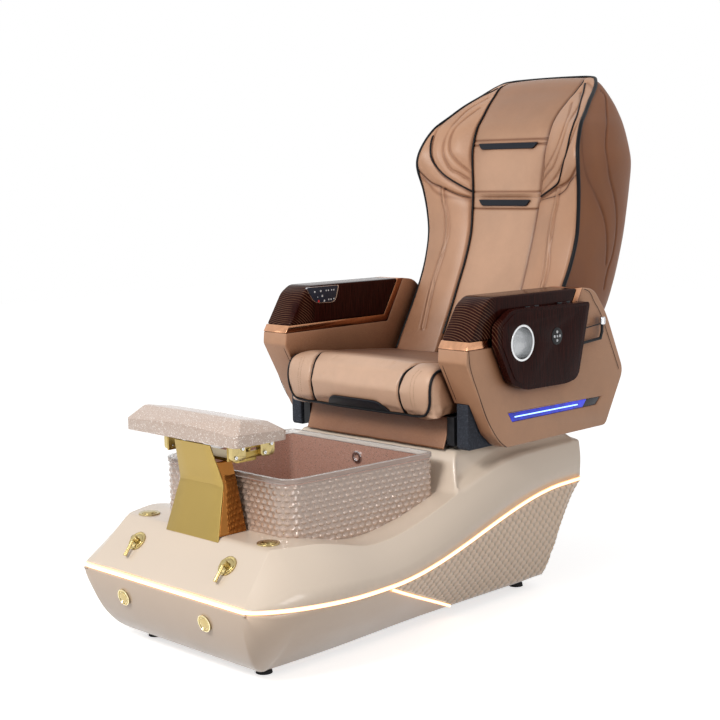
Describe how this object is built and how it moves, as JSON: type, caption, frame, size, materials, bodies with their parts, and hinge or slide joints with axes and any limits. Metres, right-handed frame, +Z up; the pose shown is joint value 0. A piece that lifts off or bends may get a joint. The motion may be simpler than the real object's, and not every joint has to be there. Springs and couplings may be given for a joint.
{
  "type": "pedicure spa chair",
  "caption": "Pedicure spa chair: moulded foot-bath base, sliding padded footrest and massage seat, reclining winged back, two arm pods with flip-up trays.",
  "frame": {"origin": "on the floor, midway between the two sides and midway between the tip of the nose and the rear of the upright back", "axes": "+Z up, +Y to the rear (the chair faces -Y), +X to the sitter's left"},
  "size_m": [0.8366, 1.645, 1.456],
  "materials": {
    "hull_gloss": "glossy gel coat",
    "belt_glow": "lit diffuser",
    "scale_panel": "embossed satin",
    "frame_steel": "powder coated",
    "zinc_steel": "plain steel",
    "foot_rubber": "matt",
    "basin_glitter": "pearl glitter resin",
    "rim_clear": "clear resin",
    "chrome_trim": "polished",
    "gold_metal": "polished gold tone",
    "gold_plastic": "gold plated plastic",
    "motor_black": "matt",
    "pad_glitter": "pearl glitter cover",
    "boot_cloth": "speckled",
    "tan_leather": "smooth grain",
    "seat_leather": "smooth grain",
    "navy_trim": "smooth",
    "dark_wood": "high gloss lacquer",
    "copper_band": "polished copper tone",
    "lamp_blue": "lit lens",
    "panel_slate": "satin touch panel"
  },
  "bodies": {
    "base": {"lower_hull": "hull_gloss", "upper_hull": "hull_gloss", "belt_light": "belt_glow", "branch_lights": "belt_glow", "scale_panels": "scale_panel", "levelling_feet": "foot_rubber", "base_frame": "frame_steel", "basin": "basin_glitter", "basin_rim": "rim_clear", "overflow_ring": "chrome_trim", "drain_strainer": "chrome_trim", "drain_tail": "motor_black", "jet_motor": "motor_black", "jet_cover": "gold_plastic", "water_valves": "gold_metal", "tap_plates": "gold_metal", "button_bezels": "gold_plastic", "nose_caps": "gold_plastic", "footrest_column": "gold_metal", "seat_rails": "zinc_steel", "slide_motor": "motor_black"},
    "tap_left": {"tap_lever_left": "gold_metal"},
    "tap_right": {"tap_lever_right": "gold_metal"},
    "button_left": {"deck_button_left": "gold_plastic"},
    "button_right": {"deck_button_right": "gold_plastic"},
    "impeller": {"jet_impeller": "zinc_steel"},
    "footrest": {"footrest_bars": "gold_metal", "footrest_blocks": "gold_metal", "block_screws": "zinc_steel", "footrest_pad": "pad_glitter"},
    "seat": {"seat_frame": "frame_steel", "side_boots": "boot_cloth", "seat_cushion": "seat_leather", "seat_tab": "navy_trim", "apron": "tan_leather", "pod_left": "tan_leather", "pod_right": "tan_leather", "arm_cap_left": "dark_wood", "arm_cap_right": "dark_wood", "arm_bands": "copper_band", "pod_lamps": "lamp_blue", "control_panel": "panel_slate", "tray_brackets": "zinc_steel", "recline_motor": "motor_black"},
    "tray_l": {"tray_left": "dark_wood", "tray_handles_left": "frame_steel", "cup_left": "chrome_trim", "tray_disc_left": "motor_black"},
    "tray_r": {"tray_right": "dark_wood", "tray_handles_right": "frame_steel", "cup_right": "chrome_trim", "tray_disc_right": "motor_black"},
    "back": {"back_frame": "frame_steel", "back_shell": "tan_leather", "back_cushion": "seat_leather", "back_wings": "tan_leather", "head_cushion": "seat_leather", "back_tabs": "navy_trim"},
    "carriage": {"massage_carriage": "frame_steel"},
    "rollers": {"massage_rollers": "zinc_steel"}
  },
  "joints": [
    {"name": "tap_left_turn", "type": "hinge", "parent": "base", "child": "tap_left", "pos_m": [0.177, -0.753, 0.27198], "axis": [0, -0.7221, 0.6918], "range_deg": [0, 90]},
    {"name": "tap_right_turn", "type": "hinge", "parent": "base", "child": "tap_right", "pos_m": [-0.177, -0.753, 0.27198], "axis": [0, -0.7221, 0.6918], "range_deg": [-90, 0]},
    {"name": "button_left_press", "type": "slide", "parent": "base", "child": "button_left", "axis": [0, 0, -1], "range_m": [0, 0.004], "stiffness_N_per_m": 600, "springref_m": -0.004},
    {"name": "button_right_press", "type": "slide", "parent": "base", "child": "button_right", "axis": [0, 0, -1], "range_m": [0, 0.004], "stiffness_N_per_m": 600, "springref_m": -0.004},
    {"name": "impeller_spin", "type": "hinge", "parent": "base", "child": "impeller", "pos_m": [0, -0.621, 0.262], "axis": [0, 1, 0], "continuous": true},
    {"name": "footrest_slide", "type": "slide", "parent": "base", "child": "footrest", "axis": [0, 1, 0], "range_m": [-0.02, 0.02]},
    {"name": "seat_slide", "type": "slide", "parent": "base", "child": "seat", "axis": [0, -1, 0], "range_m": [0, 0.1]},
    {"name": "tray_left_flip", "type": "hinge", "parent": "seat", "child": "tray_l", "pos_m": [0.3905, 0.209, 0.8284], "axis": [0, -1, 0], "range_deg": [0, 90]},
    {"name": "tray_right_flip", "type": "hinge", "parent": "seat", "child": "tray_r", "pos_m": [-0.3905, 0.209, 0.8284], "axis": [0, 1, 0], "range_deg": [0, 90]},
    {"name": "back_recline", "type": "hinge", "parent": "seat", "child": "back", "pos_m": [0, 0.437, 0.59], "axis": [-1, 0, 0], "range_deg": [0, 30]},
    {"name": "massage_travel", "type": "slide", "parent": "back", "child": "carriage", "axis": [0, 0.2504, 0.9681], "range_m": [-0.2, 0.3]},
    {"name": "roller_spin", "type": "hinge", "parent": "carriage", "child": "rollers", "pos_m": [0, 0.52672, 0.93236], "axis": [1, 0, 0], "continuous": true}
  ]
}
